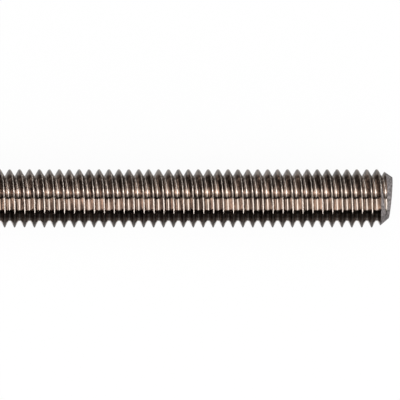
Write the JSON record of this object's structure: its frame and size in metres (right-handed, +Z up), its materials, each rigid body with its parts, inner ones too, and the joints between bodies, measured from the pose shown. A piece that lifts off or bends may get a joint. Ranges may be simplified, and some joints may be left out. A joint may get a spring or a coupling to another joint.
{
  "type": "lead screw",
  "caption": "Straight one-piece screw rod with a right-hand metric thread over its whole length, a square chamfered end and a tip cut slightly out of square.",
  "frame": {"origin": "centre of the square end's flat face, on the rod's axis", "axes": "+X along the rod's axis towards the slanted tip, +Z up, +Y level and across the rod"},
  "size_m": [0.0602, 0.0058, 0.0058],
  "materials": {
    "stainless": "bright rolled stainless steel, ground dull at the ends"
  },
  "bodies": {
    "root": {"lead_screw": "stainless"}
  },
  "joints": []
}
